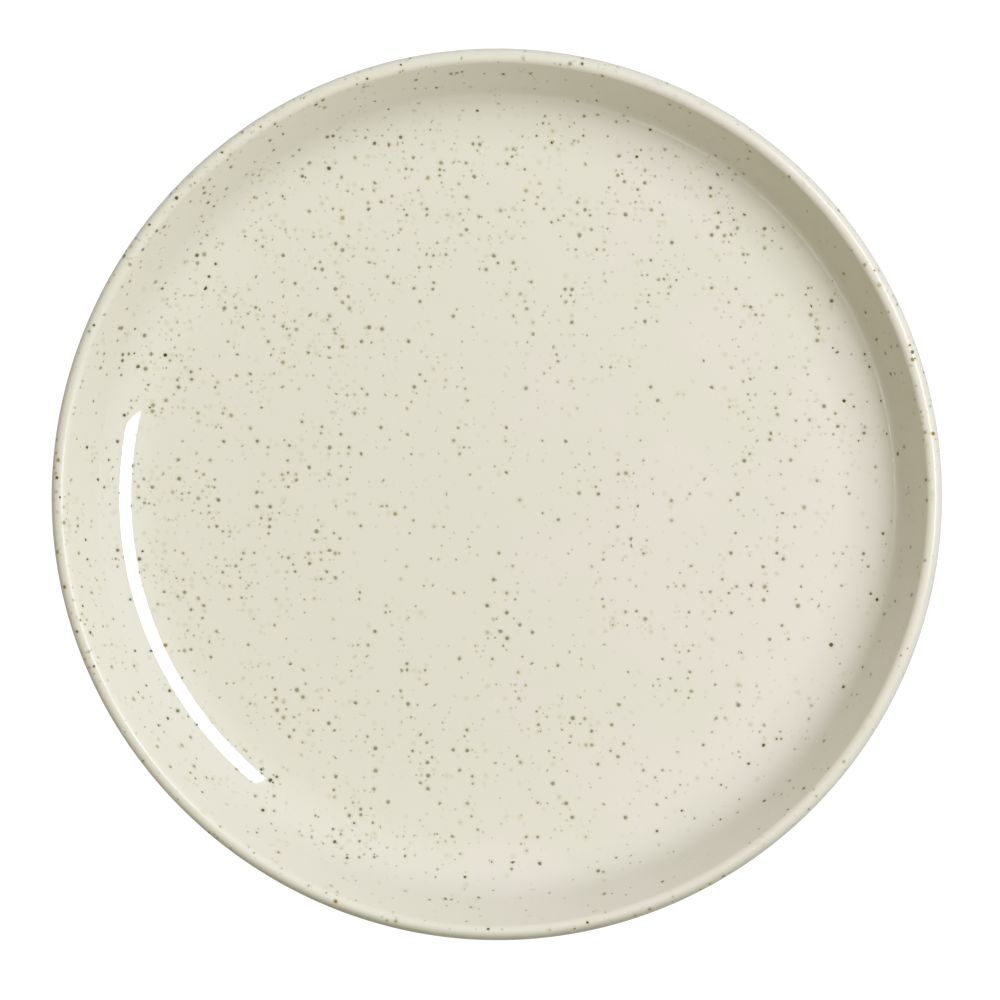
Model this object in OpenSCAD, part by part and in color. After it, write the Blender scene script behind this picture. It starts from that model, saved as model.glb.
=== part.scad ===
// Coupe dinner plate in speckled stoneware.
// A turned clay body stands on a foot ring. A glassy coat wraps it from the middle of the well,
// over the rounded rim, down to the outside of the foot ring. A second patch of glaze fills the
// underside within the ring. The ring itself is wiped bare where it meets the table.
// The table is the plane z = 0, and the plate's own axis is +Z.
// Sizes of the plate are over the glaze; sizes of the foot ring are of the bare clay.

/* [Overall] */
// Diameter over the rim
plate_d = 280; // [262:1:310]
// Height from the table to the top of the rim
plate_h = 30; // [26:0.5:38]
// Thickness through the clay and the glaze on both its sides
wall_t = 5.2; // [4:0.2:6.6]

/* [Well and wall] */
// Slope of the wall, in degrees from level
wall_slope = 59; // [50:1:68]
// Radius of the easy curve that leaves the flat well
shoulder_r = 30; // [22:1:42]
// Slope at which the easy curve turns into the tighter cove, in degrees
shoulder_slope = 22; // [12:1:26]
// Radius of the cove at the foot of the wall
cove_r = 16.5; // [10:0.5:22]

/* [Foot ring] */
// From the edge of the flat well in to the middle of the bearing face
foot_inset = 20; // [13:0.1:30]
// Width of the flat bearing face
foot_w = 3.5; // [2:0.25:6]
// Height of the glazed underside above the table
foot_h = 3; // [2.5:0.25:5]
// Lean of the ring's flanks, in degrees from upright
foot_draft = 12; // [0:1:25]
// Rounding between the flanks and the bearing face
foot_edge_r = 0.8; // [0.3:0.1:1.1]
// Fillet between the flanks and the underside
foot_fillet_r = 1.4; // [1:0.1:2]

/* [Glaze] */
// Thickness of the fired glaze
glaze_t = 0.4; // [0.2:0.05:0.7]
// Bare clay left on each flank above its rounding
bare_flank = 0.6; // [0.2:0.1:0.8]

/* [Hidden] */

clay_colour = [0.80, 0.72, 0.60];
glaze_colour = [0.89, 0.875, 0.81];

// Sides of a full turn, and the most degrees between two points of an arc
turn_sides = 240;
arc_step = 6;

// The rim is a half round that joins the wall's two faces
rim_r = wall_t / 2;
rim_centre = [plate_d / 2 - rim_r, plate_h - rim_r];

// The eating face is worked inwards from the rim: wall, cove, shoulder, flat well
well_z = foot_h + wall_t;
wall_top = rim_centre + rim_r * [-sin(wall_slope), cos(wall_slope)];
curves_run = shoulder_r * sin(shoulder_slope) + cove_r * (sin(wall_slope) - sin(shoulder_slope));
curves_rise = shoulder_r * (1 - cos(shoulder_slope)) + cove_r * (cos(shoulder_slope) - cos(wall_slope));
wall_run = (wall_top.y - well_z - curves_rise) / tan(wall_slope);
well_r = wall_top.x - wall_run - curves_run;
shoulder_centre = [well_r, well_z + shoulder_r];
cove_centre = shoulder_centre + (shoulder_r - cove_r) * [sin(shoulder_slope), -cos(shoulder_slope)];

// The foot ring's outer flank, from the rounding at the table up to the fillet
foot_r = well_r - foot_inset;
clay_under_z = foot_h + glaze_t;
flank_up = [sin(foot_draft), cos(foot_draft)];
flank_out = [cos(foot_draft), -sin(foot_draft)];
edge_centre = [foot_r + foot_w / 2, foot_edge_r];
flank_start = edge_centre + foot_edge_r * flank_out;
fillet_z = clay_under_z - foot_fillet_r;
flank_len = (fillet_z - foot_fillet_r * flank_out.y - flank_start.y) / flank_up.y;
fillet_centre = flank_start + flank_len * flank_up + foot_fillet_r * flank_out;
glaze_end_centre = flank_start + (bare_flank + glaze_t) * flank_up;

// Points of an arc about a centre, from one angle to another
function arc(centre, r, from, to) =
    let (steps = max(2, ceil(abs(to - from) / arc_step)))
    [for (i = [0 : steps]) let (a = from + (to - from) * i / steps) centre + r * [cos(a), sin(a)]];

// A list without its first point, which the list before it already ends on
function after_first(points) = [for (i = [1 : len(points) - 1]) points[i]];

// The same points in the other order, and the same flank on the ring's inner side
function backwards(points) = [for (i = [len(points) - 1 : -1 : 0]) points[i]];
function inner_flank(points) = [for (p = points) [2 * foot_r - p.x, p.y]];

// The plate's skin at a depth under the glaze: well, shoulder, cove, wall, rim and back again
function skin(depth) = concat(
    [[0, well_z - depth]],
    arc(shoulder_centre, shoulder_r + depth, -90, shoulder_slope - 90),
    after_first(arc(cove_centre, cove_r + depth, shoulder_slope - 90, wall_slope - 90)),
    arc(rim_centre, rim_r - depth, wall_slope + 90, 90),
    after_first(arc(rim_centre, rim_r - depth, 90, 0)),
    after_first(arc(rim_centre, rim_r - depth, 0, wall_slope - 90)),
    arc(cove_centre, cove_r + wall_t - depth, wall_slope - 90, shoulder_slope - 90),
    after_first(arc(shoulder_centre, shoulder_r + wall_t - depth, shoulder_slope - 90, -90))
);

// The fillet at a depth under the glaze, from the underside to the flank
function fillet(depth) = arc(fillet_centre, foot_fillet_r - glaze_t + depth, 90, 180 - foot_draft);

// The flank's rounding down to the table, and the rounded end of the glaze on the flank
foot_edge = arc(edge_centre, foot_edge_r, -foot_draft, -90);
glaze_end = arc(glaze_end_centre, glaze_t, -foot_draft, -90 - foot_draft);

// Turns an outline about the plate's axis
module turned(outline) {
    rotate_extrude($fn = turn_sides)
        polygon(outline);
}

// Fired stoneware, bare only on the foot ring's bearing face and just above it
module clay_body() {
    outer_foot = concat(fillet(glaze_t), foot_edge);
    color(clay_colour)
        turned(concat(
            skin(glaze_t),
            outer_foot,
            backwards(inner_flank(outer_foot)),
            [[0, clay_under_z]]
        ));
}

// The main coat: eating face, rim, outer wall and the outside of the foot ring
module glaze_coat() {
    color(glaze_colour)
        turned(concat(
            skin(0),
            fillet(0),
            glaze_end,
            backwards(concat(skin(glaze_t), fillet(glaze_t)))
        ));
}

// The patch within the foot ring, which the wiped ring parts from the main coat
module base_glaze() {
    color(glaze_colour)
        turned(concat(
            [[0, foot_h]],
            inner_flank(concat(fillet(0), glaze_end)),
            backwards(inner_flank(fillet(glaze_t))),
            [[0, clay_under_z]]
        ));
}

clay_body();
glaze_coat();
base_glaze();
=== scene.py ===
"""Looks of a coupe dinner plate in speckled cream stoneware, seen from above.

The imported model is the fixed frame. Turned pieces stand for its three nodes: the clay body, the glaze
coat, made as an eating face and an outside that meet at the widest line of the rim, and the patch of
glaze under the base. They are turned about the plate's axis from the same section as the solids, and
share the slight unevenness of a plate that was pressed and finished by hand. All lengths are in metres.
"""
import logging
import math
from dataclasses import dataclass
from enum import Enum

import bpy
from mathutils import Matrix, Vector


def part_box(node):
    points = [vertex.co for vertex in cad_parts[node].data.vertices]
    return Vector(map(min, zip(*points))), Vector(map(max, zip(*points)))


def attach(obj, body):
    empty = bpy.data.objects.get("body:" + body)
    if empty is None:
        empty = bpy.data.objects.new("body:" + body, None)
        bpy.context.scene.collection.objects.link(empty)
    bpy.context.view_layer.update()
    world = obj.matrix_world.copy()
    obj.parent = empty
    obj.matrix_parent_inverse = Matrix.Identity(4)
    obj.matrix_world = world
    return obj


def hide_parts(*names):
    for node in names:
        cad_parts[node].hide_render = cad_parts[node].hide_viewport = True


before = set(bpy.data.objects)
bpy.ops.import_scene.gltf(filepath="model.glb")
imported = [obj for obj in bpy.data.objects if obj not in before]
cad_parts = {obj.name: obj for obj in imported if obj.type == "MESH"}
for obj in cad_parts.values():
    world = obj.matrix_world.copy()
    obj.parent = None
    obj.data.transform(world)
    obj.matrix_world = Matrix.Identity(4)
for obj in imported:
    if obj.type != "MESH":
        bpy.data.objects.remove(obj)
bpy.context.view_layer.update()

log = logging.getLogger("plate")
MM = 0.001
QUARTER = math.pi / 2
WHITE = (1.0, 1.0, 1.0, 1.0)

# A colour with its alpha, and an easing: the low and the high value, then the first and the last result
Colour = tuple[float, float, float, float]
Ramp = tuple[float, float, float, float]


@dataclass(frozen=True)
class PlateSection:
    """Sizes of the plate's section: half of it, cut through the axis, as (radius, height) points.

    Attributes:
        diameter: Over the rim.
        height: From the table to the top of the rim.
        foot_height: From the table to the glazed underside.
        glaze: Thickness of the fired glaze.
        wall: Thickness through the clay and the glaze on both its sides.
        wall_slope: Slope of the wall from level.
        shoulder_radius: Radius of the easy curve that leaves the flat well.
        shoulder_slope: Slope at which that curve turns into the cove.
        cove_radius: Radius of the cove at the foot of the wall.
        foot_inset: From the edge of the well in to the middle of the bearing face.
        foot_width: Width of the bearing face.
        foot_draft: Lean of the foot ring's flanks from upright.
        foot_edge_radius: Rounding between the flanks and the bearing face.
        foot_fillet_radius: Fillet between the flanks and the underside.
        bare_flank: Bare clay left on each flank above its rounding.
    """

    diameter: float
    height: float
    foot_height: float
    glaze: float = 0.4 * MM
    wall: float = 5.2 * MM
    wall_slope: float = math.radians(59)
    shoulder_radius: float = 30 * MM
    shoulder_slope: float = math.radians(22)
    cove_radius: float = 16.5 * MM
    foot_inset: float = 20 * MM
    foot_width: float = 3.5 * MM
    foot_draft: float = math.radians(12)
    foot_edge_radius: float = 0.8 * MM
    foot_fillet_radius: float = 1.4 * MM
    bare_flank: float = 0.6 * MM

    @classmethod
    def from_frame(cls) -> "PlateSection":
        """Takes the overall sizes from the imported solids.

        Returns:
            The section, with its other sizes as they are here.
        """
        low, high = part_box("glaze_coat")
        base_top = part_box("base_glaze")[1].z
        return cls(high.x - low.x, high.z, base_top - cls.glaze)

    @property
    def rim_radius(self) -> float:
        """Radius of the half round that closes the rim."""
        return self.wall / 2

    @property
    def rim_centre(self) -> Vector:
        """Centre of the rim's half round."""
        return Vector((self.diameter / 2 - self.rim_radius, self.height - self.rim_radius))

    @property
    def well_height(self) -> float:
        """Height of the flat well above the table."""
        return self.foot_height + self.wall

    @property
    def well_radius(self) -> float:
        """Radius at which the flat well ends and the shoulder starts.

        Returns:
            What the rim leaves after the wall, the cove and the shoulder, worked inwards.
        """
        steep, easy = self.wall_slope, self.shoulder_slope
        top = self.rim_centre + self.rim_radius * Vector((-math.sin(steep), math.cos(steep)))
        run = self.shoulder_radius * math.sin(easy) + self.cove_radius * (math.sin(steep) - math.sin(easy))
        rise = self.shoulder_radius * (1 - math.cos(easy))
        rise += self.cove_radius * (math.cos(easy) - math.cos(steep))
        wall_run = (top.y - self.well_height - rise) / math.tan(steep)
        return top.x - wall_run - run

    @property
    def foot_radius(self) -> float:
        """Radius at the middle of the foot ring's bearing face."""
        return self.well_radius - self.foot_inset

    @property
    def shoulder_centre(self) -> Vector:
        """Centre of the easy curve that leaves the well."""
        return Vector((self.well_radius, self.well_height + self.shoulder_radius))

    @property
    def cove_centre(self) -> Vector:
        """Centre of the tighter curve at the foot of the wall."""
        along = Vector((math.sin(self.shoulder_slope), -math.cos(self.shoulder_slope)))
        return self.shoulder_centre + (self.shoulder_radius - self.cove_radius) * along


def arc(centre: Vector, radius: float, start: float, end: float, spacing: float) -> list[Vector]:
    """Points along an arc.

    Args:
        centre: The arc's centre in the section.
        radius: Its radius.
        start: Angle of the first point, from straight outwards, in radians.
        end: Angle of the last point.
        spacing: Most distance between two points.

    Returns:
        The points, with both ends.
    """
    steps = max(2, math.ceil(abs(end - start) * radius / spacing))
    angles = [start + (end - start) * i / steps for i in range(steps + 1)]
    return [centre + radius * Vector((math.cos(a), math.sin(a))) for a in angles]


def line(start: Vector, end: Vector, spacing: float) -> list[Vector]:
    """Points along a straight line, with both ends, at most the spacing apart."""
    steps = max(1, math.ceil((end - start).length / spacing))
    return [start.lerp(end, i / steps) for i in range(steps + 1)]


def join(*runs: list[Vector]) -> list[Vector]:
    """Joins runs of points that each start where the run before them ends.

    Args:
        runs: The runs, in order.

    Returns:
        One run, in which no joint is there twice.
    """
    joined = list(runs[0])
    for run in runs[1:]:
        joined.extend(run[1:])
    return joined


class Outlines:
    """Draws the section's outlines at a depth under the glaze, finely enough for a smooth surface."""

    def __init__(self, section: PlateSection, fineness: float = 1.0) -> None:
        """Keeps the section and sets the spacing between points on each kind of stretch.

        Args:
            section: The plate's sizes.
            fineness: Factor on the usual spacing: over 1 is coarser.
        """
        self.section = section
        self.flat = 2.4 * MM * fineness
        self.underside = self.flat / 2
        self.curve = 0.5 * MM * fineness
        self.straight = self.curve * 2
        self.tight = 0.16 * MM * fineness
        self.bead = self.tight / 3

    def face(self, depth: float) -> list[Vector]:
        """Eating face from the axis over the crest to the widest line of the rim.

        Args:
            depth: How far under the glaze.

        Returns:
            Its points, from the axis outwards.
        """
        s = self.section
        centre = Vector((0, s.well_height - depth))
        shoulder = arc(s.shoulder_centre, s.shoulder_radius + depth, -QUARTER, s.shoulder_slope - QUARTER,
                       self.curve)
        cove = arc(s.cove_centre, s.cove_radius + depth, s.shoulder_slope - QUARTER,
                   s.wall_slope - QUARTER, self.curve)
        rim = arc(s.rim_centre, s.rim_radius - depth, s.wall_slope + QUARTER, 0, self.tight)
        well = line(centre, shoulder[0], self.flat)
        wall = line(cove[-1], rim[0], self.straight)
        return join(well, shoulder, cove, wall, rim)

    def outside(self, depth: float) -> list[Vector]:
        """Outside from the rim's widest line down to the start of the foot ring's fillet.

        Args:
            depth: How far under the glaze.

        Returns:
            Its points, from the rim inwards.
        """
        s = self.section
        rim = arc(s.rim_centre, s.rim_radius - depth, 0, s.wall_slope - QUARTER, self.tight)
        cove = arc(s.cove_centre, s.cove_radius + s.wall - depth, s.wall_slope - QUARTER,
                   s.shoulder_slope - QUARTER, self.curve)
        shoulder = arc(s.shoulder_centre, s.shoulder_radius + s.wall - depth, s.shoulder_slope - QUARTER,
                       -QUARTER, self.curve)
        wall = line(rim[-1], cove[0], self.straight)
        flat = line(shoulder[-1], self.fillet(depth)[0], self.underside)
        return join(rim, wall, cove, shoulder, flat)

    @property
    def flank_up(self) -> Vector:
        """Direction up the foot ring's outer flank."""
        draft = self.section.foot_draft
        return Vector((math.sin(draft), math.cos(draft)))

    @property
    def flank_out(self) -> Vector:
        """Direction square to the foot ring's outer flank, outwards."""
        draft = self.section.foot_draft
        return Vector((math.cos(draft), -math.sin(draft)))

    @property
    def edge_centre(self) -> Vector:
        """Centre of the rounding between the outer flank and the bearing face."""
        s = self.section
        return Vector((s.foot_radius + s.foot_width / 2, s.foot_edge_radius))

    @property
    def flank_start(self) -> Vector:
        """Lowest point of the straight flank."""
        return self.edge_centre + self.section.foot_edge_radius * self.flank_out

    def fillet(self, depth: float) -> list[Vector]:
        """Fillet between the underside and the outer flank.

        Args:
            depth: How far under the glaze.

        Returns:
            Its points, from the underside down.
        """
        s = self.section
        radius = s.foot_fillet_radius - s.glaze + depth
        height = s.foot_height + s.glaze - s.foot_fillet_radius
        rise = height - s.foot_fillet_radius * self.flank_out.y - self.flank_start.y
        centre = self.flank_start + self.flank_up * (rise / self.flank_up.y)
        centre += self.flank_out * s.foot_fillet_radius
        return arc(centre, radius, QUARTER, 2 * QUARTER - s.foot_draft, self.tight)

    def glaze_end(self) -> list[Vector]:
        """Rounded lower end of the glaze on the outer flank.

        Returns:
            Its points, down to the clay.
        """
        s = self.section
        centre = self.flank_start + self.flank_up * (s.bare_flank + s.glaze)
        return arc(centre, s.glaze, -s.foot_draft, -QUARTER - s.foot_draft, self.bead)

    def bare_edge(self) -> list[Vector]:
        """Clay of the outer flank, from under the glaze's end round to the bearing face.

        Returns:
            Its points, from the fillet down.
        """
        s = self.section
        edge = arc(self.edge_centre, s.foot_edge_radius, -s.foot_draft, -QUARTER, self.tight)
        return join(line(self.fillet(s.glaze)[-1], edge[0], self.tight), edge)

    def inner_flank(self, points: list[Vector]) -> list[Vector]:
        """The same points on the foot ring's inner side, in the other order."""
        return [Vector((2 * self.section.foot_radius - p.x, p.y)) for p in reversed(points)]


@dataclass(frozen=True)
class Wave:
    """One wave round the plate.

    Attributes:
        count: Crests in a full turn.
        size: Height of a crest.
        at: Angle of one crest.
    """

    count: int
    size: float
    at: float

    def value(self, angle: float) -> float:
        """The wave's height at an angle round the plate."""
        return self.size * math.cos(self.count * (angle - self.at))


@dataclass(frozen=True)
class HandUnevenness:
    """How far the plate departs from a true turned form, the same for the clay and all its glaze.

    Attributes:
        foot_height: Height below which the rise fades out, so that the bearing face stays flat.
        inner_radius: Radius at which the rim's waves start.
        outer_radius: Radius at which they are whole.
        outwards: Waves that move the rim out and in.
        upwards: Waves that move it up and down.
        well_swell: Rise and fall of the well.
        well_ripples: How often it rises from the axis to the rim.
        swell_oval: How much more it rises along one line through the axis than across it.
    """

    foot_height: float
    inner_radius: float
    outer_radius: float
    outwards: tuple[Wave, ...] = (
        Wave(3, 0.13 * MM, math.radians(80)),
        Wave(4, 0.06 * MM, math.radians(10)),
        Wave(5, 0.08 * MM, math.radians(50)),
    )
    upwards: tuple[Wave, ...] = (
        Wave(2, 0.09 * MM, math.radians(20)),
        Wave(3, 0.06 * MM, math.radians(65)),
    )
    well_swell: float = 0.05 * MM
    well_ripples: float = 2.5
    swell_oval: float = 0.4

    def move(self, point: Vector) -> Vector:
        """Moves a point of the true form.

        Args:
            point: The point before.

        Returns:
            The point after. The foot's bearing face stays where it is.
        """
        radius = math.hypot(point.x, point.y)
        angle = math.atan2(point.y, point.x)
        width = self.outer_radius - self.inner_radius
        share = min(1.0, max(0.0, (radius - self.inner_radius) / width))
        share = share * share * (3 - 2 * share)
        lift = min(1.0, max(0.0, point.z / self.foot_height))
        out = share * sum(w.value(angle) for w in self.outwards)
        up = share * sum(w.value(angle) for w in self.upwards)
        turns = 2 * math.pi * self.well_ripples * radius / self.outer_radius
        up += (1 - share) * self.well_swell * math.cos(turns) * (1 + self.swell_oval * math.cos(2 * angle))
        stretch = 1 + out / max(radius, self.inner_radius)
        return Vector((point.x * stretch, point.y * stretch, point.z + up * lift))


@dataclass(frozen=True)
class Chart:
    """Ring of the square picture that a strip of surface is laid out on, for the baked maps.

    Attributes:
        centre: Middle of the ring in the square.
        start: Radius at which the strip's first point lies.
        end: Radius at which its last point lies.
    """

    centre: tuple[float, float]
    start: float
    end: float

    def place(self, share: float, angle: float) -> tuple[float, float]:
        """Where a point lies, from its share of the strip's length and its angle round the plate."""
        radius = self.start + (self.end - self.start) * share
        return self.centre[0] + radius * math.cos(angle), self.centre[1] + radius * math.sin(angle)


PICTURE_MIDDLE = (0.5, 0.5)
PICTURE_CORNER = (0.075, 0.075)


class Ring(Enum):
    """Rings about the middle of a piece's picture or in its corner. No two of a piece overlap."""

    WHOLE = Chart(PICTURE_MIDDLE, 0.0, 0.49)
    OUTER = Chart(PICTURE_MIDDLE, 0.49, 0.28)
    INNER = Chart(PICTURE_MIDDLE, 0.27, 0.12)
    INNER_SEAM = Chart(PICTURE_MIDDLE, 0.11, 0.1)
    CORE = Chart(PICTURE_MIDDLE, 0.0, 0.36)
    EDGE = Chart(PICTURE_MIDDLE, 0.37, 0.49)
    CORNER = Chart(PICTURE_CORNER, 0.07, 0.0)
    CORNER_SEAM = Chart(PICTURE_CORNER, 0.07, 0.0679)
    CORNER_REST = Chart(PICTURE_CORNER, 0.0679, 0.0)


@dataclass(frozen=True)
class Strip:
    """A stretch of an outline with the ring that it is laid out on."""

    points: list[Vector]
    ring: Ring

    def shares(self) -> list[float]:
        """How far along the strip each point lies.

        Returns:
            Each point's share of the strip's length.
        """
        lengths = [0.0]
        for before, after in zip(self.points, self.points[1:]):
            lengths.append(lengths[-1] + (after - before).length)
        return [length / lengths[-1] for length in lengths]


@dataclass(frozen=True)
class Turning:
    """Turns a closed outline, given as strips, about the plate's axis.

    Attributes:
        sides: Sides of a full turn.
        on_axis: Radius under which a point counts as lying on the axis.
        sharp: Angle between two faces over which their edge is sharp.
        map_name: Name of the layout that the maps are baked on.
    """

    sides: int = 400
    on_axis: float = 1e-7
    sharp: float = math.radians(40)
    map_name: str = "OFBake"

    def turn(self, name: str, strips: list[Strip], uneven: HandUnevenness) -> bpy.types.Object:
        """Makes the mesh and its object.

        Args:
            name: Name of the piece.
            strips: The outline's strips, each starting where the one before ends.
            uneven: The unevenness that moves each point.

        Returns:
            The new object, linked to the scene.
        """
        places: list[Vector] = []
        rings: list[list[int]] = []
        closed = (strips[0].points[0] - strips[-1].points[-1]).length < self.on_axis
        outline = join(*[strip.points for strip in strips])
        if closed:
            outline.pop()
        angles = [2 * math.pi * i / self.sides for i in range(self.sides)]
        for point in outline:
            turned = angles if point.x > self.on_axis else [0.0]
            rings.append([len(places) + i for i in range(len(turned))])
            for angle in turned:
                at = Vector((point.x * math.cos(angle), point.x * math.sin(angle), point.y))
                places.append(uneven.move(at))
        faces: list[tuple[int, ...]] = []
        spots: list[tuple[float, float]] = []
        number = 0
        for strip in strips:
            shares = strip.shares()
            for k in range(len(strip.points) - 1):
                near, far = rings[number], rings[(number + 1) % len(rings)]
                self.band(near, far, strip.ring.value, shares[k : k + 2], faces, spots)
                number += 1
        mesh = bpy.data.meshes.new(name)
        mesh.from_pydata(places, [], faces)
        layout = mesh.uv_layers.new(name=self.map_name)
        layout.data.foreach_set("uv", [value for spot in spots for value in spot])
        mesh.shade_smooth()
        mesh.set_sharp_from_angle(angle=self.sharp)
        mesh.validate()
        piece = bpy.data.objects.new(name, mesh)
        bpy.context.scene.collection.objects.link(piece)
        return piece

    def band(self, near: list[int], far: list[int], chart: Chart, shares: list[float],
             faces: list[tuple[int, ...]], spots: list[tuple[float, float]]) -> None:
        """Adds the faces between two rings, with their places in the picture.

        Args:
            near: Vertices of the first ring, or the one vertex on the axis.
            far: Vertices of the second ring, or the one vertex on the axis.
            chart: The strip's chart.
            shares: The two rings' shares of the strip.
            faces: The faces so far, which grow.
            spots: The places so far, which grow.
        """
        for i in range(self.sides):
            after = (i + 1) % self.sides
            start, end = 2 * math.pi * i / self.sides, 2 * math.pi * (i + 1) / self.sides
            corners = []
            if len(near) > 1:
                corners += [(near[after], shares[0], end), (near[i], shares[0], start)]
            else:
                corners.append((near[0], shares[0], (start + end) / 2))
            if len(far) > 1:
                corners += [(far[i], shares[1], start), (far[after], shares[1], end)]
            else:
                corners.append((far[0], shares[1], (start + end) / 2))
            faces.append(tuple(vertex for vertex, _, _ in corners))
            spots.extend(chart.place(share, angle) for _, share, angle in corners)


class Sketch:
    """Adds nodes to a shader tree and links them, so that a finish reads as a list of steps."""

    def __init__(self, tree: bpy.types.NodeTree) -> None:
        """Keeps the tree.

        Args:
            tree: The tree that the nodes are added to.
        """
        self.tree = tree

    def feed(self, socket: bpy.types.NodeSocket, value: object) -> None:
        """Links a socket to another one, or sets its value.

        Args:
            socket: The socket that takes it.
            value: The other socket, or the value.
        """
        if isinstance(value, bpy.types.NodeSocket):
            self.tree.links.new(value, socket)
        else:
            socket.default_value = value

    def add(self, kind: str, inputs: dict | None = None, **options: object) -> bpy.types.Node:
        """Adds a node.

        Args:
            kind: Blender's name of the node's type.
            inputs: What its sockets get, by name or number.
            options: The node's own options.

        Returns:
            The new node.
        """
        node = self.tree.nodes.new(kind)
        for option, value in options.items():
            setattr(node, option, value)
        for key, value in (inputs or {}).items():
            self.feed(node.inputs[key], value)
        return node

    def math(self, operation: str, *values: object, clamp: bool = False) -> bpy.types.NodeSocket:
        """Adds a sum of one to three values and returns its result."""
        node = self.add("ShaderNodeMath", dict(enumerate(values)), operation=operation, use_clamp=clamp)
        return node.outputs[0]

    def vector(self, operation: str, *values: object) -> bpy.types.NodeSocket:
        """Adds a sum of vectors.

        Args:
            operation: Blender's name of the sum.
            values: What goes into it.

        Returns:
            Its result: a number for a length or a dot product, and otherwise a vector.
        """
        node = self.add("ShaderNodeVectorMath", operation=operation)
        for socket, value in zip(node.inputs, values):
            self.feed(socket, value)
        return node.outputs["Value"] if operation in ("LENGTH", "DOT_PRODUCT") else node.outputs["Vector"]

    def scaled(self, vector: bpy.types.NodeSocket, factor: object) -> bpy.types.NodeSocket:
        """Multiplies a vector by a number."""
        return self.add("ShaderNodeVectorMath", {0: vector, "Scale": factor}, operation="SCALE").outputs[0]

    def ease(self, value: object, low: object, high: object, first: object = 0.0,
             last: object = 1.0) -> bpy.types.NodeSocket:
        """Eases from the first result to the last as the value goes from low to high."""
        inputs = {"Value": value, "From Min": low, "From Max": high, "To Min": first, "To Max": last}
        return self.add("ShaderNodeMapRange", inputs, interpolation_type="SMOOTHSTEP").outputs["Result"]

    def tint(self, share: object, under: object, over: object, how: str = "MIX") -> bpy.types.NodeSocket:
        """Lays one colour over another.

        Args:
            share: How much of the upper colour shows.
            under: The lower colour.
            over: The upper colour.
            how: Blender's name of the way in which they mix.

        Returns:
            The mixed colour.
        """
        node = self.add("ShaderNodeMix", data_type="RGBA", blend_type=how)
        for number, value in ((0, share), (6, under), (7, over)):
            self.feed(node.inputs[number], value)
        return node.outputs[2]

    def cloud(self, place: object, size: object, detail: float = 2.0,
              how: str = "Fac") -> bpy.types.NodeSocket:
        """Adds soft noise.

        Args:
            place: Where it is looked up.
            size: How far across its features are.
            detail: How many finer layers it has.
            how: Which of its outputs is used.

        Returns:
            That output.
        """
        scale = self.math("DIVIDE", 1.0, size)
        node = self.add("ShaderNodeTexNoise", {"Vector": place, "Scale": scale, "Detail": detail})
        return node.outputs[how]


class Effect:
    """A shader node group that more than one finish places with its own values."""

    name = "effect"
    takes: tuple[tuple[str, str], ...] = ()
    gives: tuple[tuple[str, str], ...] = ()

    def __init__(self) -> None:
        """Builds the group once."""
        self.group = bpy.data.node_groups.new(self.name, "ShaderNodeTree")
        for direction, sockets in (("INPUT", self.takes), ("OUTPUT", self.gives)):
            for name, kind in sockets:
                self.group.interface.new_socket(name=name, in_out=direction, socket_type=kind)
        sketch = Sketch(self.group)
        inputs = sketch.add("NodeGroupInput").outputs
        results = self.draw(sketch, inputs)
        sketch.add("NodeGroupOutput", results)

    def draw(self, sketch: Sketch, inputs: bpy.types.NodeOutputs) -> dict[str, bpy.types.NodeSocket]:
        """Adds the group's nodes.

        Args:
            sketch: Where they are added.
            inputs: The group's own inputs.

        Returns:
            What each output gets, by its name.
        """
        raise NotImplementedError

    def place(self, sketch: Sketch, **values: object) -> bpy.types.NodeOutputs:
        """Places the group in a finish.

        Args:
            sketch: The finish.
            values: What the inputs get, with low lines for the spaces in their names.

        Returns:
            The group's outputs there.
        """
        node = sketch.add("ShaderNodeGroup", node_tree=self.group)
        for key, value in values.items():
            sketch.feed(node.inputs[key.replace("_", " ")], value)
        return node.outputs


class RaggedPlace(Effect):
    """Moves the place that specks are looked up at, so that their outlines come out ragged."""

    name = "ragged_place"
    takes = (("Place", "NodeSocketVector"), ("Size", "NodeSocketFloat"), ("Reach", "NodeSocketFloat"))
    gives = (("Place", "NodeSocketVector"),)

    def draw(self, sketch: Sketch, inputs: bpy.types.NodeOutputs) -> dict[str, bpy.types.NodeSocket]:
        """Adds noise of a size to the place, as far as the reach.

        Args:
            sketch: Where the nodes are added.
            inputs: The group's own inputs.

        Returns:
            The moved place.
        """
        ragged = sketch.cloud(inputs["Place"], inputs["Size"], detail=1.0, how="Color")
        shift = sketch.vector("SUBTRACT", ragged, (0.5, 0.5, 0.5))
        return {"Place": sketch.vector("ADD", inputs["Place"], sketch.scaled(shift, inputs["Reach"]))}


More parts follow.
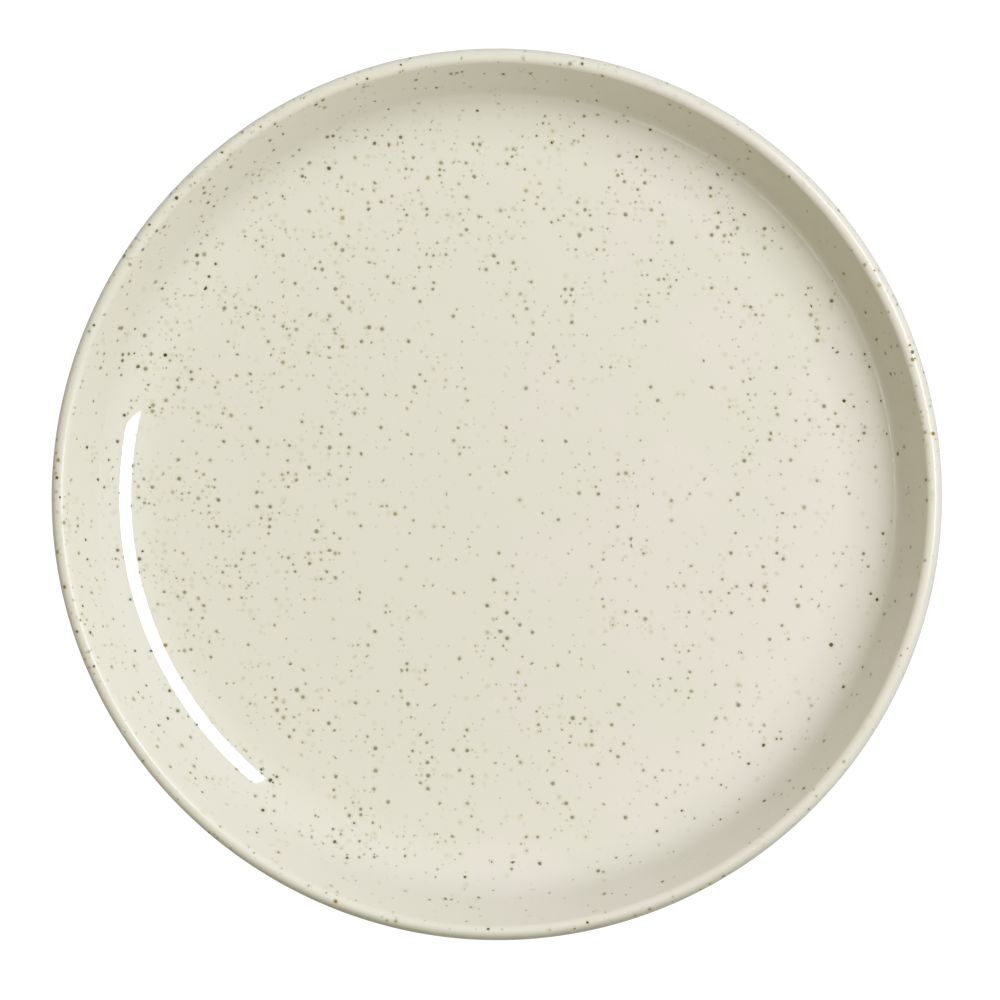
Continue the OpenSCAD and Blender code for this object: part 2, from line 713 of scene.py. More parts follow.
class IronSpecks(Effect):
    """Specks of iron scattered through a body or a glaze, as blobs in space that its surface cuts.

    A blob that lies deep under the surface is blurred. Its mask goes from 0 to 1, its halo reaches
    further, and its chance and depth are two numbers from 0 to 1 that stay the same over the blob.

    Attributes:
        small_power: Power that makes small blobs the more common ones.
        crisp_edge: Width of the edge of a blob at the surface, as a share of its radius.
        blurred_edge: The same for the deepest blob.
        halo_reach: Reach of the halo, as a multiple of the radius.
    """

    name = "iron_specks"
    takes = (
        ("Place", "NodeSocketVector"),
        ("Spacing", "NodeSocketFloat"),
        ("Least", "NodeSocketFloat"),
        ("Most", "NodeSocketFloat"),
        ("Share", "NodeSocketFloat"),
    )
    gives = (
        ("Mask", "NodeSocketFloat"),
        ("Halo", "NodeSocketFloat"),
        ("Chance", "NodeSocketFloat"),
        ("Depth", "NodeSocketFloat"),
    )
    small_power = 1.8
    crisp_edge = 0.1
    blurred_edge = 0.4
    halo_reach = 3.0

    def draw(self, sketch: Sketch, inputs: bpy.types.NodeOutputs) -> dict[str, bpy.types.NodeSocket]:
        """Draws blobs of random size about random points, of which a share is kept.

        Args:
            sketch: Where the nodes are added.
            inputs: The group's own inputs.

        Returns:
            Each blob's mask, halo, chance and depth.
        """
        scale = sketch.math("DIVIDE", 1.0, inputs["Spacing"])
        cells = sketch.add("ShaderNodeTexVoronoi", {"Vector": inputs["Place"], "Scale": scale},
                           voronoi_dimensions="3D")
        away = sketch.math("MULTIPLY", cells.outputs["Distance"], inputs["Spacing"])
        chances = sketch.add("ShaderNodeSeparateColor", {0: cells.outputs["Color"]}).outputs
        size = sketch.math("POWER", chances[0], self.small_power)
        spread = sketch.math("SUBTRACT", inputs["Most"], inputs["Least"])
        radius = sketch.math("MULTIPLY_ADD", size, spread, inputs["Least"])
        blur = self.blurred_edge - self.crisp_edge
        edge = sketch.math("MULTIPLY_ADD", chances[2], blur, self.crisp_edge)
        outer = sketch.math("MULTIPLY", radius, sketch.math("ADD", 1.0, edge))
        inner = sketch.math("MULTIPLY", radius, sketch.math("SUBTRACT", 1.0, edge))
        mask = sketch.ease(away, outer, inner)
        halo = sketch.ease(away, sketch.math("MULTIPLY", radius, self.halo_reach), inner)
        kept = sketch.math("LESS_THAN", chances[1], inputs["Share"])
        return {
            "Mask": sketch.math("MULTIPLY", mask, kept),
            "Halo": sketch.math("MULTIPLY", halo, kept),
            "Chance": sketch.math("DIVIDE", chances[1], inputs["Share"], clamp=True),
            "Depth": chances[2],
        }


class FineRelief(Effect):
    """Soft rise and fall of a fired surface at two sizes, as a height in metres."""

    name = "fine_relief"
    takes = (
        ("Place", "NodeSocketVector"),
        ("Broad", "NodeSocketFloat"),
        ("Broad height", "NodeSocketFloat"),
        ("Fine", "NodeSocketFloat"),
        ("Fine height", "NodeSocketFloat"),
    )
    gives = (("Height", "NodeSocketFloat"), ("Grain", "NodeSocketFloat"))
    broad_detail = 1.0
    fine_detail = 3.0

    def draw(self, sketch: Sketch, inputs: bpy.types.NodeOutputs) -> dict[str, bpy.types.NodeSocket]:
        """Adds up two layers of noise, each as high as its input says.

        Args:
            sketch: Where the nodes are added.
            inputs: The group's own inputs.

        Returns:
            The height, and the finer layer by itself.
        """
        broad = sketch.cloud(inputs["Place"], inputs["Broad"], self.broad_detail)
        fine = sketch.cloud(inputs["Place"], inputs["Fine"], self.fine_detail)
        height = sketch.math("MULTIPLY", broad, inputs["Broad height"])
        height = sketch.math("MULTIPLY_ADD", fine, inputs["Fine height"], height)
        return {"Height": height, "Grain": fine}


class Effects:
    """The groups that more than one finish places."""

    def __init__(self) -> None:
        """Builds each group once."""
        self.ragged = RaggedPlace()
        self.specks = IronSpecks()
        self.relief = FineRelief()


@dataclass(frozen=True)
class SpeckKind:
    """One kind of speck in a finish.

    Attributes:
        spacing: Mean distance between the points that blobs may lie about.
        least: Least radius of a blob.
        most: Most radius.
        share: Share of the points that have a blob.
        strong: Share of the surface's colour that a speck at the surface hides.
        faint: Share that the deepest speck hides.
        dark: Colour of the dark ones.
        rusty: Colour of the rusty ones.
        stain: Colour of the stain round the speck.
        halo: Strength of the stain round the speck.
        shift: Where the pattern is taken from, so that no two kinds fall together.
    """

    spacing: float
    least: float
    most: float
    share: float
    strong: float
    faint: float
    dark: Colour
    rusty: Colour
    stain: Colour
    halo: float
    shift: tuple[float, float, float]


STAIN = (0.38, 0.36, 0.04, 1)
FLECKS = SpeckKind(
    spacing=2.1 * MM, least=0.28 * MM, most=0.68 * MM, share=0.34, strong=1.0, faint=0.46,
    dark=(0.058, 0.053, 0.006, 1), rusty=(0.3, 0.19, 0.03, 1), stain=STAIN, halo=0.2,
    shift=(0.31, 0.17, 0.05),
)
PEPPER = SpeckKind(
    spacing=1.8 * MM, least=0.28 * MM, most=0.52 * MM, share=0.3, strong=0.52, faint=0.12,
    dark=(0.13, 0.125, 0.01, 1), rusty=(0.34, 0.23, 0.04, 1), stain=STAIN, halo=0.0,
    shift=(0.73, 0.41, 0.29),
)


class Gloss(Enum):
    """How a fired surface throws back light: its roughness at its smoothest."""

    GLASSY = 0.03
    DRY = 0.72


@dataclass(frozen=True)
class SpeckledGlaze:
    """Cream glaze with iron specks, glassy, thinner and warmer over the rim, with painted shade on the rim's
    outer edge.

    Attributes:
        rim_radius: Radius of the plate.
        rim_height: Height of the rim's top.
        well_radius: Radius of the flat well.
        well_height: Height of the flat well.
        name: Name of the material.
        colour: The glaze where it is thick.
        pale: The glaze of its paler patches.
        thin_glaze_and_shade: Dark colour over the rim's outer edge: the glaze where the clay shows through,
            and painted shade.
        patch: Size of the patches.
        pale_per_metre: How much paler it gets from left to right.
        pale_ramp: Easing from soft noise to the share of the pale colour.
        thin_and_shade_reach: Width of the band over the rim's outer edge that has the thinned glaze and the
            painted shade.
        thin_and_shade_right: How strong that band is on the right, as thinned glaze and painted shade.
        thin_and_shade_near: How strong it is on the near side, where the painted shade is darkest.
        thin_and_shade_near_share: Share of the radius at which the near side starts.
        patchy_band_ramp: Easing from soft noise to how patchy that band is.
        kinds: The kinds of specks, the lowest first.
        ragged_size: Size of the raggedness of a speck's outline.
        ragged_reach: How far it moves the outline.
        rusty_share: Share of the specks that are rusty, in the well.
        rusty_share_up: The same at the rim's top.
        crowd_size: Size of the loose clusters.
        crowd_ramp: Easing from soft noise to the factor on the number of specks.
        crowd_lean: Direction in which there are more specks.
        crowd_per_metre: How much that factor grows along it.
        crowd_middle: Factor on their number in the middle of the well.
        crowd_middle_share: Share of the well's radius at which that middle ends.
        crowd_wall: Factor on their number on the wall.
        crowd_wall_rise: Rise from the well to where that factor is whole.
        crowd_crest: Factor on their number on the rim's crest.
        gloss: The glaze at its smoothest.
        gloss_spread: How much rougher its grain makes it.
        index: Its index of refraction.
        crest_reach: Height of the rim's crest, which the firing leaves less glassy.
        crest_full_share: Share of that height, from the top, in which it is roughest.
        crest_roughness: How much rougher the crest is.
        wave: Size of the broad waves in the surface.
        wave_height: Their height.
        skin: Size of the fine waves.
        skin_height: Their height.
        speck_height: How far a speck stands up.
    """

    rim_radius: float
    rim_height: float
    well_radius: float
    well_height: float
    name: str = "cream_speckled_glaze"
    colour: Colour = (0.775, 0.746, 0.63, 1)
    pale: Colour = (0.789, 0.746, 0.648, 1)
    # Dark colour over the rim's outer edge: partly clay under thinned glaze, partly painted shade.
    thin_glaze_and_shade: Colour = (0.24, 0.235, 0.153, 1)
    patch: float = 34 * MM
    pale_per_metre: float = 2.4
    pale_ramp: Ramp = (0.5, 0.8, 0.0, 1.0)
    thin_and_shade_reach: float = 3.4 * MM
    thin_and_shade_right: float = 0.2
    thin_and_shade_near: float = 0.75
    thin_and_shade_near_share: float = 0.6
    patchy_band_ramp: Ramp = (0.2, 0.8, 0.7, 1.0)
    kinds: tuple[SpeckKind, ...] = (PEPPER, FLECKS)
    ragged_size: float = 0.45 * MM
    ragged_reach: float = 0.3 * MM
    rusty_share: float = 0.08
    rusty_share_up: float = 0.4
    crowd_size: float = 13 * MM
    crowd_ramp: Ramp = (0.3, 0.72, 0.15, 1.85)
    crowd_lean: tuple[float, float, float] = (-0.87, 0.5, 0.0)
    crowd_per_metre: float = 3.4
    crowd_middle: float = 0.48
    crowd_middle_share: float = 0.15
    crowd_wall: float = 0.45
    crowd_wall_rise: float = 8.2 * MM
    crowd_crest: float = 0.9
    gloss: Gloss = Gloss.GLASSY
    gloss_spread: float = 0.02
    index: float = 1.3
    crest_reach: float = 1.3 * MM
    crest_full_share: float = 1 / 3
    crest_roughness: float = 0.15
    wave: float = 7 * MM
    wave_height: float = 0.005 * MM
    skin: float = 1.1 * MM
    skin_height: float = 0.0006 * MM
    speck_height: float = 0.003 * MM

    def build(self, effects: Effects) -> bpy.types.Material:
        """Makes the material.

        Args:
            effects: The groups that the finishes share.

        Returns:
            The material.
        """
        material = bpy.data.materials.new(self.name)
        material.use_nodes = True
        material.node_tree.nodes.clear()
        sketch = Sketch(material.node_tree)
        place = sketch.add("ShaderNodeTexCoord").outputs["Object"]
        parts = sketch.add("ShaderNodeSeparateXYZ", {0: place}).outputs
        flat = sketch.add("ShaderNodeCombineXYZ", {"X": parts["X"], "Y": parts["Y"]}).outputs[0]
        from_axis = sketch.vector("LENGTH", flat)
        patches = sketch.cloud(place, self.patch, detail=1.0)
        drift = sketch.math("MULTIPLY_ADD", parts["X"], self.pale_per_metre, patches)
        colour = sketch.tint(sketch.ease(drift, *self.pale_ramp), self.colour, self.pale)
        # The rim's outer edge darkens, most on the near side: partly clay under thinned glaze, partly painted
        # shade.
        colour = sketch.tint(self.thin_glaze_and_shade_share(sketch, place, parts, from_axis), colour, self.thin_glaze_and_shade)
        crowding = self.crowding(sketch, place, parts["Z"], from_axis)
        rusty = sketch.ease(parts["Z"], self.well_height, self.rim_height, self.rusty_share,
                            self.rusty_share_up)
        ragged = effects.ragged.place(sketch, Place=place, Size=self.ragged_size,
                                      Reach=self.ragged_reach)["Place"]
        mask: object = 0.0
        for kind in self.kinds:
            colour, mask = self.scatter(sketch, effects.specks, kind, ragged, crowding, rusty, colour)
        surface = effects.relief.place(sketch, Place=place, Broad=self.wave, Broad_height=self.wave_height,
                                       Fine=self.skin, Fine_height=self.skin_height)
        height = sketch.math("MULTIPLY_ADD", mask, self.speck_height, surface["Height"])
        normal = sketch.add("ShaderNodeBump", {"Height": height, "Distance": 1.0}).outputs["Normal"]
        crest = sketch.ease(parts["Z"], self.rim_height - self.crest_reach,
                            self.rim_height - self.crest_reach * self.crest_full_share)
        rough = sketch.math("MULTIPLY_ADD", surface["Grain"], self.gloss_spread, self.gloss.value)
        rough = sketch.math("MULTIPLY_ADD", crest, self.crest_roughness, rough)
        shader = sketch.add("ShaderNodeBsdfPrincipled", {
            "Base Color": colour, "Roughness": rough, "IOR": self.index, "Normal": normal,
            "Coat Weight": sketch.math("SUBTRACT", 1.0, crest), "Coat Roughness": self.gloss.value,
        })
        sketch.add("ShaderNodeOutputMaterial", {"Surface": shader.outputs["BSDF"]})
        return material

    def thin_glaze_and_shade_share(self, sketch: Sketch, place: bpy.types.NodeSocket, parts: bpy.types.NodeOutputs,
                 from_axis: bpy.types.NodeSocket) -> bpy.types.NodeSocket:
        """Finds where the rim's outer edge darkens: clay under thinned glaze and painted shade, least on the
        left.

        Args:
            sketch: The finish.
            place: A point's place.
            parts: Its X, Y and Z.
            from_axis: Its distance from the axis.

        Returns:
            The share, from 0 to 1.
        """
        up = sketch.ease(parts["Z"], self.rim_height - self.thin_and_shade_reach * 2, self.rim_height - self.thin_and_shade_reach)
        out = sketch.ease(from_axis, self.rim_radius - self.thin_and_shade_reach, self.rim_radius)
        patchy = sketch.ease(sketch.cloud(place, self.patch / 3, detail=3.0), *self.patchy_band_ramp)
        near = sketch.math("DIVIDE", parts["Y"], -self.rim_radius)
        right = sketch.ease(parts["X"], -self.rim_radius / 2, self.rim_radius / 2, 0.0, self.thin_and_shade_right)
        # Painted shade: strongest on the near side, some on the right, none on the left.
        most = sketch.ease(near, self.thin_and_shade_near_share, 1.0, right, self.thin_and_shade_near)
        both = sketch.math("MULTIPLY", sketch.math("MULTIPLY", up, out), patchy)
        return sketch.math("MULTIPLY", both, most)

    def crowding(self, sketch: Sketch, place: bpy.types.NodeSocket, height: bpy.types.NodeSocket,
                 from_axis: bpy.types.NodeSocket) -> bpy.types.NodeSocket:
        """Finds a factor on the share of specks, which drifts over the plate and grows to one side.

        It is lower in the middle of the well and on the steep wall than on the well's edge and on the
        rim's crest.

        Args:
            sketch: The finish.
            place: A point's place.
            height: Its height.
            from_axis: Its distance from the axis.

        Returns:
            The factor.
        """
        drift = sketch.ease(sketch.cloud(place, self.crowd_size), *self.crowd_ramp)
        lean = sketch.vector("DOT_PRODUCT", place, self.crowd_lean)
        drift = sketch.math("MULTIPLY", drift, sketch.math("MULTIPLY_ADD", lean, self.crowd_per_metre, 1.0))
        middle_radius = self.well_radius * self.crowd_middle_share
        middle = sketch.ease(from_axis, middle_radius, self.well_radius, self.crowd_middle, 1.0)
        wall_height = self.well_height + self.crowd_wall_rise
        wall = sketch.ease(height, self.well_height, wall_height, 1.0, self.crowd_wall)
        crest_height = self.rim_height - self.crest_reach
        crest = sketch.ease(height, crest_height - self.crest_reach, crest_height,
                            1.0, self.crowd_crest / self.crowd_wall)
        placed = sketch.math("MULTIPLY", middle, sketch.math("MULTIPLY", wall, crest))
        return sketch.math("MULTIPLY", drift, placed)

    def scatter(self, sketch: Sketch, specks: IronSpecks, kind: SpeckKind, place: bpy.types.NodeSocket,
                crowding: bpy.types.NodeSocket, rusty_share: object,
                colour: object) -> tuple[bpy.types.NodeSocket, bpy.types.NodeSocket]:
        """Lays one kind of speck over the colour so far.

        Args:
            sketch: The finish.
            specks: The group that scatters specks.
            kind: The kind of speck.
            place: Where the specks are looked up.
            crowding: Factor on the share of specks.
            rusty_share: Share of the specks that are rusty.
            colour: The colour so far.

        Returns:
            The colour with these specks, and their mask.
        """
        spots = specks.place(
            sketch, Place=sketch.vector("ADD", place, kind.shift), Spacing=kind.spacing, Least=kind.least,
            Most=kind.most, Share=sketch.math("MULTIPLY", crowding, kind.share),
        )
        ink = sketch.tint(sketch.math("LESS_THAN", spots["Chance"], rusty_share), kind.dark, kind.rusty)
        strength = sketch.math("MULTIPLY_ADD", spots["Depth"], kind.faint - kind.strong, kind.strong)
        if kind.halo:
            stain = sketch.math("MULTIPLY", spots["Halo"], kind.halo)
            colour = sketch.tint(stain, colour, kind.stain)
        mask = sketch.math("MULTIPLY", spots["Mask"], strength)
        return sketch.tint(mask, colour, ink), mask


@dataclass(frozen=True)
class BareStoneware:
    """Fired clay left bare, dry and gritty, with a toasted line beside the glaze.

    Attributes:
        name: Name of the material.
        colour: The clay on the bearing face.
        toasted: The clay beside the glaze.
        kinds: The kinds of specks in it.
        crowd: How much closer they lie than in the glaze.
        toast_from: Height at which the clay starts to turn.
        toast_to: Height from which it is toasted.
        shade_ramp: Easing from the fine grit to a factor on the clay's colour.
        gloss: The clay at its smoothest.
        gloss_spread: How much rougher its grain makes it.
        grit: Size of the coarse grit.
        grit_height: Its height.
        fine_grit: Size of the fine grit.
        fine_grit_height: Its height.
    """

    name: str = "bare_stoneware"
    colour: Colour = (0.50, 0.375, 0.245, 1)
    toasted: Colour = (0.36, 0.215, 0.115, 1)
    kinds: tuple[SpeckKind, ...] = (PEPPER, FLECKS)
    crowd: float = 2.0
    toast_from: float = 1.1 * MM
    toast_to: float = 1.8 * MM
    shade_ramp: Ramp = (0.3, 0.7, 0.78, 1.12)
    gloss: Gloss = Gloss.DRY
    gloss_spread: float = 0.2
    grit: float = 0.9 * MM
    grit_height: float = 0.05 * MM
    fine_grit: float = 0.3 * MM
    fine_grit_height: float = 0.03 * MM

    def build(self, effects: Effects) -> bpy.types.Material:
        """Makes the material.

        Args:
            effects: The groups that the finishes share.

        Returns:
            The material.
        """
        material = bpy.data.materials.new(self.name)
        material.use_nodes = True
        material.node_tree.nodes.clear()
        sketch = Sketch(material.node_tree)
        place = sketch.add("ShaderNodeTexCoord").outputs["Object"]
        surface = effects.relief.place(sketch, Place=place, Broad=self.grit, Broad_height=self.grit_height,
                                       Fine=self.fine_grit, Fine_height=self.fine_grit_height)
        height = sketch.add("ShaderNodeSeparateXYZ", {0: place}).outputs["Z"]
        toast = sketch.ease(height, self.toast_from, self.toast_to)
        colour = sketch.tint(toast, self.colour, self.toasted)
        shade = sketch.ease(surface["Grain"], *self.shade_ramp)
        colour = sketch.tint(1.0, colour, shade, "MULTIPLY")
        ragged = effects.ragged.place(sketch, Place=place, Size=self.fine_grit, Reach=self.fine_grit)["Place"]
        for kind in self.kinds:
            spots = effects.specks.place(
                sketch, Place=sketch.vector("ADD", ragged, kind.shift), Spacing=kind.spacing / self.crowd,
                Least=kind.least, Most=kind.most, Share=kind.share,
            )
            colour = sketch.tint(spots["Mask"], colour, kind.dark)
        bump = sketch.add("ShaderNodeBump", {"Height": surface["Height"], "Distance": 1.0})
        rough = sketch.math("MULTIPLY_ADD", surface["Grain"], self.gloss_spread, self.gloss.value)
        shader = sketch.add("ShaderNodeBsdfPrincipled", {
            "Base Color": colour, "Roughness": rough, "Normal": bump.outputs["Normal"],
        })
        sketch.add("ShaderNodeOutputMaterial", {"Surface": shader.outputs["BSDF"]})
        return material


@dataclass(frozen=True)
class Plate:
    """The plate: its clay body and its glaze, turned and dressed.

    Attributes:
        section: Sizes of its section.
        turning: How it is turned.
        uneven: How it departs from a true form.
        finishes: The material of each slot of the record.
        hidden_spacing: Factor on the spacing between points where nothing shows.
        body: The frame's body that every piece rides on.
    """

    section: PlateSection
    turning: Turning
    uneven: HandUnevenness
    finishes: dict[str, bpy.types.Material]
    hidden_spacing: float = 4.0
    body: str = "root"

    @property
    def fine(self) -> Outlines:
        """Outlines of what shows."""
        return Outlines(self.section)

    @property
    def coarse(self) -> Outlines:
        """Outlines of what is hidden between the glaze and the clay."""
        return Outlines(self.section, self.hidden_spacing)

    def glaze_face(self) -> bpy.types.Object:
        """Makes the eating face of the coat: well, wall and the rim up to its widest line.

        Returns:
            The piece.
        """
        shown = self.fine.face(0)
        hidden = self.coarse.face(self.section.glaze)
        hidden.reverse()
        strips = [
            Strip(shown, Ring.WHOLE),
            Strip([shown[-1], hidden[0]], Ring.CORNER_SEAM),
            Strip(hidden, Ring.CORNER_REST),
        ]
        return self.finish_piece("glaze_eating_face", strips, "glaze_coat", "speckled_glaze")

    def glaze_outside(self) -> bpy.types.Object:
        """Makes the outside of the coat, from the rim's widest line to the rounded end on the foot ring.

        Returns:
            The piece.
        """
        fine, coarse = self.fine, self.coarse
        glaze = self.section.glaze
        end = fine.glaze_end()
        flank = line(fine.fillet(0)[-1], end[0], fine.tight)
        shown = join(fine.outside(0), fine.fillet(0), flank, end)
        inner_fillet = coarse.fillet(glaze)
        hidden = join(coarse.outside(glaze), inner_fillet, line(inner_fillet[-1], end[-1], coarse.tight))
        hidden.reverse()
        strips = [
            Strip(shown, Ring.OUTER),
            Strip(hidden, Ring.INNER),
            Strip([hidden[-1], shown[0]], Ring.INNER_SEAM),
        ]
        return self.finish_piece("glaze_outside", strips, "glaze_coat", "speckled_glaze")

    def glaze_base(self) -> bpy.types.Object:
        """Makes the patch of glaze on the underside within the foot ring.

        Returns:
            The piece.
        """
        s, fine, coarse = self.section, self.fine, self.coarse
        end = fine.glaze_end()
        edge = join(fine.fillet(0), line(fine.fillet(0)[-1], end[0], fine.tight), end)
        inner = fine.inner_flank(edge)
        inner.reverse()
        flat = line(Vector((0, s.foot_height)), inner[0], fine.flat)
        back = join(coarse.fillet(s.glaze), line(coarse.fillet(s.glaze)[-1], end[-1], coarse.tight))
        hidden = coarse.inner_flank(back)
        top = line(hidden[-1], Vector((0, s.foot_height + s.glaze)), coarse.flat)
        strips = [Strip(join(flat, inner), Ring.WHOLE), Strip(join(hidden, top), Ring.CORNER)]
        return self.finish_piece("glaze_base", strips, "base_glaze", "speckled_glaze")

    def clay(self) -> bpy.types.Object:
        """Makes the clay body, of which only the foot ring's bearing face and its edges show.

        Returns:
            The piece.
        """
        s, fine, coarse = self.section, self.fine, self.coarse
        covered = join(coarse.face(s.glaze), coarse.outside(s.glaze), coarse.fillet(s.glaze))
        outer = fine.bare_edge()
        inner = fine.inner_flank(outer)
        bare = join(outer, line(outer[-1], inner[0], fine.tight * 2), inner)
        under = fine.inner_flank(coarse.fillet(s.glaze))
        base = line(under[-1], Vector((0, s.foot_height + s.glaze)), coarse.flat)
        strips = [
            Strip(covered, Ring.CORE),
            Strip(bare, Ring.EDGE),
            Strip(join(under, base), Ring.CORNER),
        ]
        return self.finish_piece("stoneware_body", strips, "clay_body", "stoneware")

    def finish_piece(self, name: str, strips: list[Strip], node: str, slot: str) -> bpy.types.Object:
        """Turns a piece, dresses it and ties it to the frame.

        Args:
            name: Name of the piece.
            strips: Its outline.
            node: The CAD node that it stands for.
            slot: The record's material slot.

        Returns:
            The piece.
        """
        piece = self.turning.turn(name, strips, self.uneven)
        piece.data.materials.append(self.finishes[slot])
        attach(piece, self.body)
        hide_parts(node)
        log.info("%s: %d faces", name, len(piece.data.polygons))
        return piece


@dataclass(frozen=True)
class Studio:
    """Pale floor, soft light and a camera almost straight above, framed as the photograph.

    Attributes:
        plate_radius: Radius of the plate.
        rim_height: Height of the rim's widest line, which the photograph is framed on.
        picture: Width of the picture in pixels.
        plate_radius_px: Radius of the plate in the picture.
        plate_centre_px: Its centre there, from the left and from the top.
        camera_height: From the rim up to the camera.
        camera_lean: How far the camera leans from straight down.
        sensor: Width of its sensor, in millimetres.
        panel_away: From the plate to the panel.
        panel_side: Direction of the panel's middle, from the right.
        panel_low: Angle from straight up to the panel's upper edge.
        panel_high: Angle from straight up to its lower edge.
        panel_half_turn: Half of the turn round the plate that it takes at its lower edge.
        panel_flare: How much more it takes at its upper edge.
        panel_cells: Number of its faces round the plate, and from its top down.
        panel_strength: Strength of its light.
        panel_colour: Colour of its light.
        sky_level: Strength of the light from all round.
        sky_lean: Direction in which that light is stronger. Its length says by how much.
        sky_ramp: Easing from that lean to the light's colour.
        dim_sky: Colour of its dim side.
        bright_sky: Colour of its bright side.
        floor_reach: Half of the floor's width.
        floor_colour: Colour of the floor in what the plate mirrors.
        backdrop: Strength of the white that the camera sees.
    """

    plate_radius: float
    rim_height: float
    picture: int = 1000
    plate_radius_px: float = 445.7
    plate_centre_px: tuple[float, float] = (494.7, 494.5)
    camera_height: float = 1.4
    camera_lean: float = math.radians(3.2)
    sensor: float = 36.0
    panel_away: float = 2.4
    panel_side: float = math.radians(21)
    panel_low: float = math.radians(21.8)
    panel_high: float = math.radians(37.9)
    panel_half_turn: float = math.radians(32.4)
    panel_flare: float = math.radians(3.5)
    panel_cells: tuple[int, int] = (16, 4)
    panel_strength: float = 15.5
    panel_colour: Colour = (0.955, 1.0, 1.13, 1)
    sky_level: float = 0.31
    sky_lean: tuple[float, float, float] = (0.14, 0.4, 0.0)
    sky_ramp: Ramp = (0.6, 1.4, 0.0, 1.0)
    dim_sky: Colour = (1.14, 1.01, 0.44, 1)
    bright_sky: Colour = (1.05, 1.0, 0.9, 1)
    floor_reach: float = 4.0
    floor_colour: Colour = (0.6, 0.6, 0.59, 1)
    backdrop: float = 1.05

    def build(self) -> None:
        """Makes the camera, the lights and the floor."""
        self.camera()
        self.softbox()
        self.surroundings()
        self.floor()
        bpy.context.scene.view_settings.view_transform = "Standard"

    def camera(self) -> None:
        """Looks down at a slight lean, aside by as much as the plate lies off the picture's middle."""
        data = bpy.data.cameras.new("camera")
        data.sensor_width = self.sensor
        data.lens = self.plate_radius_px / self.picture * self.sensor * self.camera_height / self.plate_radius
        per_pixel = self.plate_radius / self.plate_radius_px
        aside = (self.picture / 2 - self.plate_centre_px[0]) * per_pixel
        ahead = (self.plate_centre_px[1] - self.picture / 2) * per_pixel
        camera = bpy.data.objects.new("camera", data)
        camera.rotation_euler = (0.0, self.camera_lean, 0.0)
        from_rim = Vector((aside, ahead, self.camera_height))
        from_rim.rotate(camera.rotation_euler)
        camera.location = Vector((0, 0, self.rim_height)) + from_rim
        bpy.context.scene.collection.objects.link(camera)
        bpy.context.scene.camera = camera

    def softbox(self) -> None:
        """Hangs a panel of soft light on the right, bent round the plate, a little longer at its top."""
        around, along = self.panel_cells
        places = []
        for j in range(along + 1):
            tilt = self.panel_low + (self.panel_high - self.panel_low) * j / along
            half = self.panel_half_turn + self.panel_flare * (1 - j / along)
            for i in range(around + 1):
                side = self.panel_side + half * (2 * i / around - 1)
                level = Vector((math.cos(side), math.sin(side), 0))
                out = level * math.sin(tilt) + Vector((0, 0, math.cos(tilt)))
                places.append(out * self.panel_away)
        row = around + 1
        faces = [(j * row + i, j * row + i + 1, (j + 1) * row + i + 1, (j + 1) * row + i)
                 for j in range(along) for i in range(around)]
        glow = self.stage_material("soft_panel")
        light = glow.add("ShaderNodeEmission", {"Color": self.panel_colour, "Strength": self.panel_strength})
        glow.add("ShaderNodeOutputMaterial", {"Surface": light.outputs[0]})
        panel = self.stage_piece("softbox", places, faces, "soft_panel")
        panel.visible_camera = False

    def stage_material(self, name: str) -> Sketch:
        """Makes an empty material for a piece of the stage.

        Args:
            name: Its name.

        Returns:
            A sketch of it.
        """
        material = bpy.data.materials.new(name)
        material.use_nodes = True
        material.node_tree.nodes.clear()
        return Sketch(material.node_tree)

    def stage_piece(self, name: str, places: list[Vector], faces: list[tuple[int, ...]],
                    material: str) -> bpy.types.Object:
        """Adds a piece of the stage, which isn't part of the plate.

        Args:
            name: Its name.
            places: Where its corners are.
            faces: The corners of each face.
            material: Name of its material.

        Returns:
            The piece.
        """
        mesh = bpy.data.meshes.new(name)
        mesh.from_pydata(places, [], faces)
        mesh.materials.append(bpy.data.materials[material])
        piece = bpy.data.objects.new(name, mesh)
        bpy.context.scene.collection.objects.link(piece)
        return piece

    def surroundings(self) -> None:
        """Soft light from all round, dimmer and warmer from one side, plain white for the camera."""
        world = bpy.data.worlds.new("studio")
        world.use_nodes = True
        world.node_tree.nodes.clear()
        sketch = Sketch(world.node_tree)
        seen = sketch.add("ShaderNodeLightPath").outputs["Is Camera Ray"]
        direction = sketch.add("ShaderNodeTexCoord").outputs["Generated"]
        lean = sketch.math("ADD", sketch.vector("DOT_PRODUCT", direction, self.sky_lean), 1.0)
        sky = sketch.math("MULTIPLY", lean, self.sky_level)
        strength = sketch.add("ShaderNodeMix", {0: seen, 2: sky, 3: self.backdrop}).outputs[0]
        colour = sketch.tint(sketch.ease(lean, *self.sky_ramp), self.dim_sky, self.bright_sky)
        colour = sketch.tint(seen, colour, WHITE)
        light = sketch.add("ShaderNodeBackground", {"Color": colour, "Strength": strength})
        sketch.add("ShaderNodeOutputWorld", {"Surface": light.outputs[0]})
        bpy.context.scene.world = world

    def floor(self) -> None:
        """A wide pale floor at the table's height, blown out to white as in the photograph."""
        reach = self.floor_reach
        corners = [Vector((x * reach, y * reach, 0)) for x, y in ((-1, -1), (1, -1), (1, 1), (-1, 1))]
        sketch = self.stage_material("pale_floor")
        seen = sketch.add("ShaderNodeLightPath").outputs["Is Camera Ray"]
        matte = sketch.add("ShaderNodeBsdfDiffuse", {"Color": self.floor_colour})
        glow = sketch.add("ShaderNodeEmission", {"Color": WHITE, "Strength": self.backdrop})
        both = sketch.add("ShaderNodeMixShader", {0: seen, 1: matte.outputs[0], 2: glow.outputs[0]})
        sketch.add("ShaderNodeOutputMaterial", {"Surface": both.outputs[0]})
        self.stage_piece("floor", corners, [(0, 1, 2, 3)], "pale_floor")


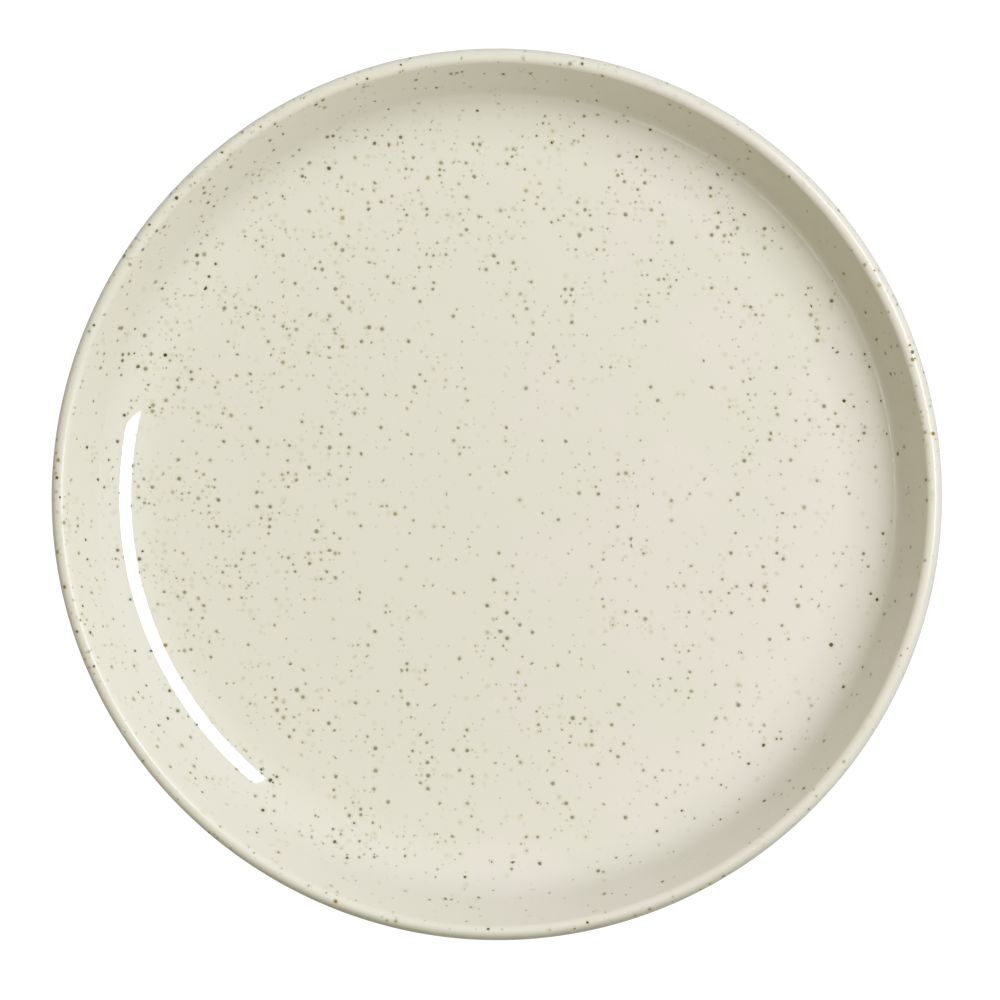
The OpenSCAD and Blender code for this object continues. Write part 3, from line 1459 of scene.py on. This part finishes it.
def main() -> None:
    """Builds the finishes, the plate and the studio in order."""
    section = PlateSection.from_frame()
    log.info("well: %.1f mm across", section.well_radius * 2 / MM)
    effects = Effects()
    finishes = {
        "speckled_glaze": SpeckledGlaze(section.diameter / 2, section.height, section.well_radius,
                                        section.well_height).build(effects),
        "stoneware": BareStoneware().build(effects),
    }
    uneven = HandUnevenness(section.foot_height, section.foot_radius, section.diameter / 2)
    plate = Plate(section, Turning(), uneven, finishes)
    for make in (plate.clay, plate.glaze_face, plate.glaze_outside, plate.glaze_base):
        make()
    Studio(section.diameter / 2, section.rim_centre.y).build()


if __name__ == "__main__":
    logging.basicConfig(level=logging.INFO, format="%(name)s: %(message)s")
    main()
